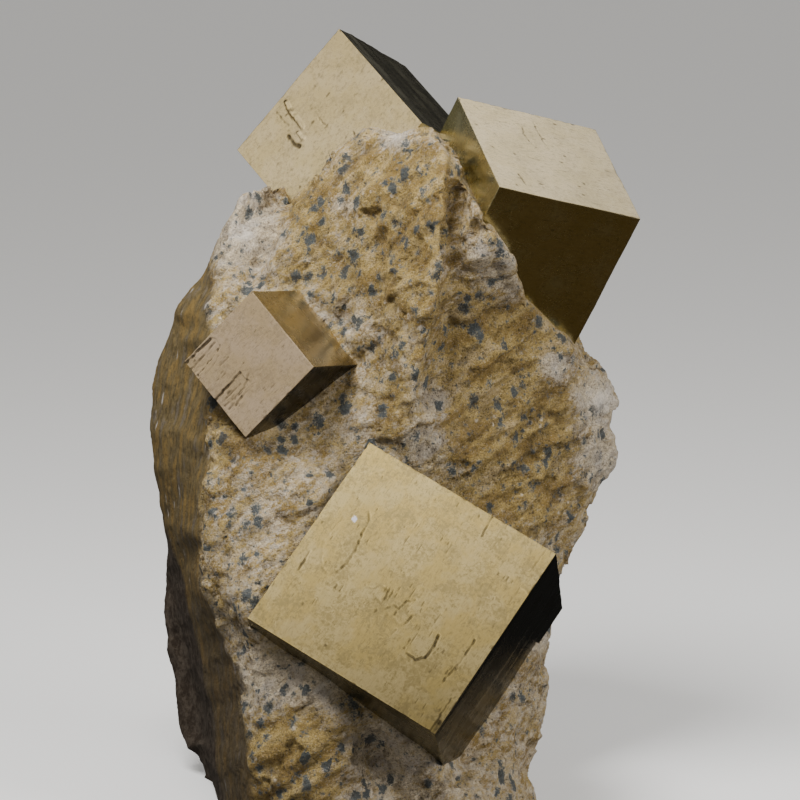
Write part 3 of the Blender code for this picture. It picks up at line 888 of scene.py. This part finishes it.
def line_distance(first, second, points):
    """Distance of each place on a face to a line through points."""
    nearest = np.full(first.shape, np.inf)
    for (ax, ay), (bx, by) in zip(points[:-1], points[1:]):
        dx, dy = bx - ax, by - ay
        share = np.clip(((first - ax) * dx + (second - ay) * dy) / (dx * dx + dy * dy), 0, 1)
        nearest = np.minimum(nearest, np.hypot(first - ax - share * dx, second - ay - share * dy))
    return nearest


def front_relief(name, first, second):
    """How deep the front face lies at each place, in metres, and how etched it is there: marks
    with the profile of a bell curve that fade along their length, a field of fine dashes along
    the growth lines, denser in some places, terraces with soft risers, and small nicks along the
    edges."""
    depth = np.zeros(first.shape)
    etched = np.zeros(first.shape)
    flat = np.stack([first, second, np.zeros_like(first)], axis=1)
    shake = 0.10 * MM * np.stack([cloud(flat, 0.6 * MM, 5), cloud(flat, 0.6 * MM, 6)], axis=1)
    near_first, near_second = first + shake[:, 0], second + shake[:, 1]
    strength = 0.40 + 0.60 * smooth_step(cloud(flat, 0.7 * MM, 7), -0.35, 0.25)
    for width, amount, *numbers in MARKS[name]:
        line = on_front_face(name, np.reshape(numbers, (-1, 2)))
        distance = line_distance(near_first, near_second, line)
        mark = amount * (strength if amount > 0 else 1.0) * np.exp(-(distance / (width * MM)) ** 2)
        depth += MM * mark
        etched = np.maximum(etched, np.clip(5.0 * mark, 0, 1))
    for first_from, first_to, second_from, amount in TERRACES[name]:
        shaken = first + shake[:, 0] * 1.4
        along = smooth_step(shaken, first_from * MM - TERRACE_RISER, first_from * MM)
        along *= 1 - smooth_step(shaken, first_to * MM, first_to * MM + TERRACE_RISER)
        along *= smooth_step(second + shake[:, 1] * 4, second_from * MM - TERRACE_RISER, second_from * MM)
        depth += amount * MM * along
    squeeze = np.array(LINE_SQUEEZE[name])
    crowd = np.zeros(first.shape)
    for across, down, radius, amount in DASHES[name]:
        middle = on_front_face(name, [(across, down)])[0]
        away = (first - middle[0]) ** 2 + (second - middle[1]) ** 2
        crowd += amount * np.exp(-away / (2 * (radius * UNIT) ** 2))
    dash = cloud(flat * squeeze, 0.21 * MM, 17) + 0.5 * cloud(flat, 1.3 * MM, 18)
    dash = smooth_step(dash, 1.16 - 0.76 * crowd, 1.30 - 0.60 * crowd)
    depth += 0.05 * MM * dash
    etched = np.maximum(etched, 0.7 * dash)
    depth += 0.010 * MM * cloud(flat * squeeze, 0.22 * MM, 8)
    depth += 0.014 * MM * cloud(flat * squeeze, 0.7 * MM, 9)
    depth += 0.05 * MM * (1 + cloud(flat, 9 * MM, 10))
    sides = SIDES[name]
    edge = np.minimum(np.minimum(first, sides[0] - first), np.minimum(second, sides[1] - second))
    nick = smooth_step(cloud(flat, 1.1 * MM, 19), 0.42, 0.8) * np.exp(-edge / (0.14 * MM))
    return depth + 0.09 * MM * nick, np.maximum(etched, 0.6 * nick)


def wall_relief(name, place):
    """How deep the side walls lie, in metres: steps at chance heights along the third edge,
    wavy along the wall."""
    count, total = WALL_STEPS[name]
    random = np.random.default_rng(len(name) * 7)
    levels = np.sort(random.uniform(0.03, 0.9, count)) * SIDES[name][2]
    wave = 0.25 * MM * cloud(place * np.array([1, 1, 0.2]), 5 * MM, 15)
    depth = np.zeros(len(place))
    for level, share in zip(levels, random.uniform(-0.6, 1.0, count)):
        depth += share * smooth_step(place[:, 2] + wave, level, level + 0.12 * MM)
    depth -= depth.min()
    return total * MM * depth / max(depth.max(), 1e-9)


def spread_levels(length, near, far):
    """Places from 0 to a length whose spacing grows from near to far."""
    places, step = [0.0], near
    while places[-1] < length - far:
        places.append(places[-1] + step)
        step = min(step * 1.12, far)
    places.append(length)
    return np.array(places)


# How far below a face its relief dies away
RELIEF_REACH = 0.5 * MM


def cube_surface(name):
    """A cube in its own axes: a grid for its front, a wall carried round its outline at each
    level along the third edge, and a fan at the back; edges are rounded by pulling each point to
    the box inset by the radius and out again by the radius; the relief moves points inwards."""
    pyrite = settings().pyrite
    sides = np.array(SIDES[name])
    radius = pyrite.edge_radius
    spacing = pyrite.spacing

    def along(length):
        """Places along an edge, with the rounding as the first and the last step."""
        inner = np.linspace(radius, length - radius, max(8, int(length / spacing)))
        return np.concatenate([[0.0], inner, [length]])

    first, second = along(sides[0]), along(sides[1])
    n, m = len(first), len(second)
    grid = np.stack(np.meshgrid(first, second, indexing="ij"), axis=-1).reshape(-1, 2)
    front = np.column_stack([grid, np.zeros(len(grid))])
    index = np.arange(n * m).reshape(n, m)
    corners = index[:-1, :-1], index[:-1, 1:], index[1:, 1:], index[1:, :-1]
    faces = [np.stack([corner.ravel() for corner in corners], axis=1)]
    rim = np.concatenate([index[:-1, 0], index[-1, :-1], index[:0:-1, -1], index[0, :0:-1]])
    levels = radius + spread_levels(sides[2] - 2 * radius, 0.2 * MM, 0.6 * MM)
    levels = np.append(levels, sides[2])
    rings = [rim]
    places = [front]
    count = len(front)
    for level in levels:
        ring = front[rim].copy()
        ring[:, 2] = level
        places.append(ring)
        rings.append(np.arange(count, count + len(rim)))
        count += len(rim)
    for lower, upper in zip(rings[:-1], rings[1:]):
        faces.append(np.stack([lower, np.roll(lower, -1), np.roll(upper, -1), upper], axis=1))
    places.append(np.array([[sides[0] / 2, sides[1] / 2, sides[2]]]))
    last = rings[-1]
    fan = np.stack([last, np.roll(last, -1), np.full(len(last), count)], axis=1)
    places = np.concatenate(places)
    low, high = np.full(3, radius), sides - radius
    core = np.clip(places, low, high)
    away = places - core
    length = np.linalg.norm(away, axis=1, keepdims=True)
    places = np.where(length > 0, core + away * (radius / np.maximum(length, 1e-12)), places)
    near_front = np.clip(1 - places[:, 2] / RELIEF_REACH, 0, 1)
    on_wall = places[:, 2] > 0.7 * radius
    moved = places.copy()
    front_depth, etched = front_relief(name, places[:, 0], places[:, 1])
    moved[:, 2] += front_depth * near_front
    depth = wall_relief(name, places)
    for axis in (0, 1):
        moved[:, axis] += depth * np.clip(1 - places[:, axis] / RELIEF_REACH, 0, 1)
        moved[:, axis] -= depth * np.clip(1 - (sides[axis] - places[:, axis]) / RELIEF_REACH, 0, 1)
    return moved, np.concatenate(faces).tolist() + fan.tolist(), etched * near_front, on_wall


def pyrite_material(name):
    """Satin brassy metal: growth lines finer across than along, clouded tint, dull etched spots, and
    painted light and shade over faces and walls.
    """
    pyrite = settings().pyrite
    shader = Shader(bpy.data.materials.new(name.replace("cube", "surface")))
    noise, mix, bent = shader.noise, shader.mix, shader.bent
    attribute, stretched = shader.attribute, shader.stretched
    place = attribute("grown_place", vector=True)
    lines_place = stretched(bent(place, 700, 0.0004), LINE_SQUEEZE[name])
    # Growth lines, strokes where the face is worked, clouds and fibres
    lines = noise(lines_place, 5200, 4, 0.6)
    broad = noise(lines_place, 1500, 4, 0.55)
    strokes = noise(lines_place, 4200, 3, 0.6)
    clouds = noise(bent(place, 300, 0.002), 190, 6, 0.66)
    cooler = noise(bent(place, 300, 0.002), 130, 4, 0.6)
    fibres = noise(bent(place, 900, 0.0008), 1700, 5, 0.65, 0.8)
    # The metal's tint, with each cube's painted light, from golden to dull
    tint_and_painted_light = [base * own for base, own in zip(pyrite.brass, TINTS_AND_PAINTED_LIGHT[name])]
    cloudy = CLOUDS[name]
    golden = [tint_and_painted_light[0] * 0.98, tint_and_painted_light[1] * (1 - 0.06 * cloudy), tint_and_painted_light[2] * (1 - 0.24 * cloudy)]
    dull = [tint_and_painted_light[0] * 0.74, tint_and_painted_light[1] * 0.73, tint_and_painted_light[2] * 0.68]
    base = mix(cooler.ramp(0.42, 0.58), colour(golden), colour(tint_and_painted_light, 1.05))
    base = mix((clouds + (fibres - 0.5) * 0.8).ramp(0.44, 0.66) * cloudy, base, colour(dull))
    base = mix((lines * 0.6 + fibres * 0.4).ramp(0.50, 0.66) * 0.5, base, colour(dull, 0.62))
    base = mix((lines * 0.4 + fibres * 0.6).ramp(0.47, 0.36) * 0.4, base, colour(tint_and_painted_light, 1.12))
    worked = noise(place, 330, 3, 0.6).ramp(0.44, 0.60)
    base = mix(strokes.ramp(0.56, 0.68) * worked * 0.5, base, colour(dull, 0.42))
    # Painted light and shade over the front faces and walls, carried by the mesh
    painted_light_and_shade = attribute("painted_light_and_shade", vector=True)
    base = shader.vector_maths("MULTIPLY", base, painted_light_and_shade)
    etched = attribute("etched")
    base = mix(etched * 0.8, base, (0.07, 0.055, 0.03))
    inclusion = attribute("pale_fill")
    base = mix(inclusion, base, (0.52, 0.50, 0.54))
    shader.set("Base Color", base)
    shader.set("Metallic", 1 - inclusion * 0.9)
    worn = clouds.ramp(0.4, 0.8) * 0.12 + lines * 0.08 + etched * 0.3
    shader.set("Roughness", worn + pyrite.roughness)
    height = lines * 0.5 + broad * 0.3 + fibres * 0.4
    shader.bump(height, 0.000014, 0.8)
    return shader.owner


# The middle of the pale inclusion in the large cube's front face, as it is seen
PALE_SPECK = (354, 519)


def make_cube(name):
    """One cube's surface in place, with the values that its material reads, its painted light and shade
    among them.
    """
    places, faces, etched, on_wall = cube_surface(name)
    fill = np.zeros(len(places))
    if name == LARGE:
        speck = on_front_face(name, [PALE_SPECK])[0]
        away = np.hypot(places[:, 0] - speck[0], places[:, 1] - speck[1])
        away += 0.22 * MM * cloud(places, 0.35 * MM, 33)
        fill = smooth_step(-away, -0.56 * MM, -0.36 * MM) * (places[:, 2] < 0.6 * MM)
    world = places @ cube_axes(name) + cube_corner(name)
    made = mesh_object(name + "_surface", world, faces, pyrite_material(name))
    # Painted light and shade: the front face made lighter or darker towards each corner
    top, first_end, second_end, opposite = PAINTED_FACE_SHADES[name]
    s, t = places[:, 0] / SIDES[name][0], places[:, 1] / SIDES[name][1]
    painted_light_and_shade = (1 - s) * ((1 - t) * top + t * second_end) + s * ((1 - t) * first_end + t * opposite)
    # Painted shade on the walls, mostly darker, with their painted reflection tint
    gaps = [places[:, 0], SIDES[name][0] - places[:, 0], places[:, 1], SIDES[name][1] - places[:, 1]]
    walls_painted_shade = np.array(PAINTED_WALL_SHADES[name])[np.argmin(gaps, axis=0)]
    painted_light_and_shade = np.where(on_wall[:, None], walls_painted_shade[:, None] * np.array(PAINTED_WALL_REFLECTION_TINT), painted_light_and_shade[:, None])
    add_attributes(made, {"grown_place": places, "etched": etched, "pale_fill": fill, "painted_light_and_shade": painted_light_and_shade})
    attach(made, "root")
    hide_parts(name)


class PYRITE_OT_matrix(bpy.types.Operator):
    """Make the rock's broken surface"""

    bl_idname = "pyrite.matrix"
    bl_label = "Matrix"

    def execute(self, context):
        places, triangles, zones = matrix_surface()
        made = mesh_object("matrix_surface", places, triangles.tolist(), rock_material())
        add_attributes(made, zones)
        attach(made, "root")
        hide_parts("matrix")
        return {"FINISHED"}


class PYRITE_OT_cubes(bpy.types.Operator):
    """Make the four cubes with their growth lines and marks"""

    bl_idname = "pyrite.cubes"
    bl_label = "Cubes"

    def execute(self, context):
        for name in TURNS:
            make_cube(name)
        return {"FINISHED"}


def soft_light(name, toward, distance, size, power, height):
    """A square soft light that shines from a direction at a share of the specimen's height, out of
    the shiny faces' sight."""
    light = bpy.data.lights.new(name, "AREA")
    light.shape = "SQUARE"
    light.size = size
    light.energy = power
    made = placed(name, light)
    direction = Vector(toward).normalized()
    low, high = (Vector(corner) for corner in CAD_BOX)
    target = (low + high) / 2
    target.z = low.z + (high.z - low.z) * height
    made.location = target + direction * distance
    made.rotation_euler = direction.to_track_quat("Z", "Y").to_euler()
    made.visible_glossy = False


def seen_direction(right, up, toward_eye):
    """A direction given as the eye sees it, in the world."""
    made = right * RIGHT + up * UP - toward_eye * FORWARD
    return made / np.linalg.norm(made)


# The glows that shiny faces mirror: towards which side as the eye sees it (right, up, towards the
# eye), full inside and gone outside these angles from its middle, how bright and how warm; the
# first five are for the faces seen from the front, the last three for other sides
GLOWS = [
    ((-0.15, 0.66, 0.73), 18, 48, 0.75, 0.0),
    ((-0.88, 0.20, 0.42), 28, 60, 0.62, 0.0),
    ((-0.89, 0.45, 0.08), 10, 36, 0.16, 0.0),
    ((0.39, 0.77, -0.51), 12, 28, 1.0, 0.0),
    ((0.37, -0.92, 0.14), 10, 40, 0.035, 1.0),
    ((0.0, 1.0, 0.0), 12, 40, 0.55, 0.0),
    ((0.25, -0.15, 0.95), 25, 58, 0.30, 0.0),
    ((0.95, 0.15, 0.10), 15, 45, 0.40, 0.0),
]
# How bright the surroundings are between the glows, behind the specimen, and as even light
STUDIO_DIM = 0.022
BACKDROP = 0.80
EVEN_LIGHT = 0.33
WHITE_GLOW = (1.0, 0.985, 0.96)
WARM_GLOW = (1.0, 0.66, 0.24)


def pale_world():
    """Soft surroundings: pale to look at, even for lighting, and for shiny faces a few soft glows,
    with the rest dark as in a dark studio."""
    world = bpy.data.worlds.new("studio")
    bpy.context.scene.world = world
    shader = Shader(world, "Background")
    direction = shader.node("ShaderNodeTexCoord", {})
    glow, warm = STUDIO_DIM, 0.0
    for toward, inner, outer, power, warmth in GLOWS:
        near = shader.dot(direction, seen_direction(*toward))
        share = near.ramp(math.cos(math.radians(outer)), math.cos(math.radians(inner)))
        glow = share * power + glow
        warm = share * warmth + warm
    camera_ray, glossy_ray = (
        Value(shader, shader.node("ShaderNodeLightPath", {}, output=name))
        for name in ("Is Camera Ray", "Is Glossy Ray"))
    other_ray = (1.0 - (glossy_ray + camera_ray)).clamp()
    shader.set("Color", shader.mix(warm * glossy_ray, WHITE_GLOW, WARM_GLOW))
    shader.set("Strength", glossy_ray * glow + camera_ray * BACKDROP + other_ray * EVEN_LIGHT)


# The floor: half its width in metres, and how much it shines by itself
FLOOR_HALF = 3.0
FLOOR_SHINE = 0.28


def floor():
    """A pale floor under the specimen, out of the shiny faces' sight, that casts no light on it."""
    shader = Shader(bpy.data.materials.new("floor"))
    pale = colour(settings().stage.floor_colour)
    looks = {"Base Color": pale, "Roughness": 0.9, "Emission Color": pale, "Emission Strength": FLOOR_SHINE}
    for name, value in looks.items():
        shader.set(name, value)
    places = FLOOR_HALF * np.array([(-1, -1, 0), (1, -1, 0), (1, 1, 0), (-1, 1, 0)])
    made = mesh_object("floor", places, [(0, 1, 2, 3)], shader.owner)
    made.visible_glossy = False
    made.visible_diffuse = False
    made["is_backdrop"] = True


# The fill light's power as a share of the key light's; it stands twice as far away
FILL_SHARE = 1.55


class PYRITE_OT_stage(bpy.types.Operator):
    """Make the floor, the lights and the camera"""

    bl_idname = "pyrite.stage"
    bl_label = "Stage"

    def execute(self, context):
        stage = settings().stage
        floor()
        pale_world()
        soft_light("key", seen_direction(-0.30, 0.76, 0.58), 0.30, 0.15, stage.key_power, 0.8)
        soft_light("fill", seen_direction(0.82, 0.30, 0.50), 0.6, 0.3, stage.key_power * FILL_SHARE, 0.7)
        camera = bpy.data.cameras.new("camera")
        camera.lens = stage.lens
        camera.sensor_width = 36.0
        camera.clip_start = 0.01
        made = placed("camera", camera)
        made.location = eye_place()
        made.rotation_euler = Vector(FORWARD).to_track_quat("-Z", "Y").to_euler()
        context.scene.camera = made
        return {"FINISHED"}


class PYRITE_PT_panel(bpy.types.Panel):
    """The specimen's operators and settings"""

    bl_idname = "PYRITE_PT_panel"
    bl_label = "Pyrite cubes on matrix"
    bl_space_type = "VIEW_3D"
    bl_region_type = "UI"
    bl_category = "Pyrite"

    def draw(self, context):
        for operator in OPERATORS:
            self.layout.operator(operator.bl_idname)
        specimen = settings()
        for group in (specimen.rock, specimen.pyrite, specimen.stage):
            box = self.layout.box()
            for key in group.__annotations__:
                box.prop(group, key)


OPERATORS = (PYRITE_OT_matrix, PYRITE_OT_cubes, PYRITE_OT_stage)
CLASSES = (RockSettings, PyriteSettings, StageSettings, SpecimenSettings, *OPERATORS, PYRITE_PT_panel)


def register():
    for item in CLASSES:
        bpy.utils.register_class(item)
    bpy.types.Scene.pyrite_specimen = bpy.props.PointerProperty(type=SpecimenSettings)


def unregister():
    del bpy.types.Scene.pyrite_specimen
    for item in reversed(CLASSES):
        bpy.utils.unregister_class(item)


def main():
    register()
    bpy.ops.pyrite.matrix()
    bpy.ops.pyrite.cubes()
    bpy.ops.pyrite.stage()
    boxes = {"cad": CAD_BOX, "visual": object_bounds()}
    boxes = {name: [list(corner) for corner in box] for name, box in boxes.items()}


if __name__ == "__main__":
    main()
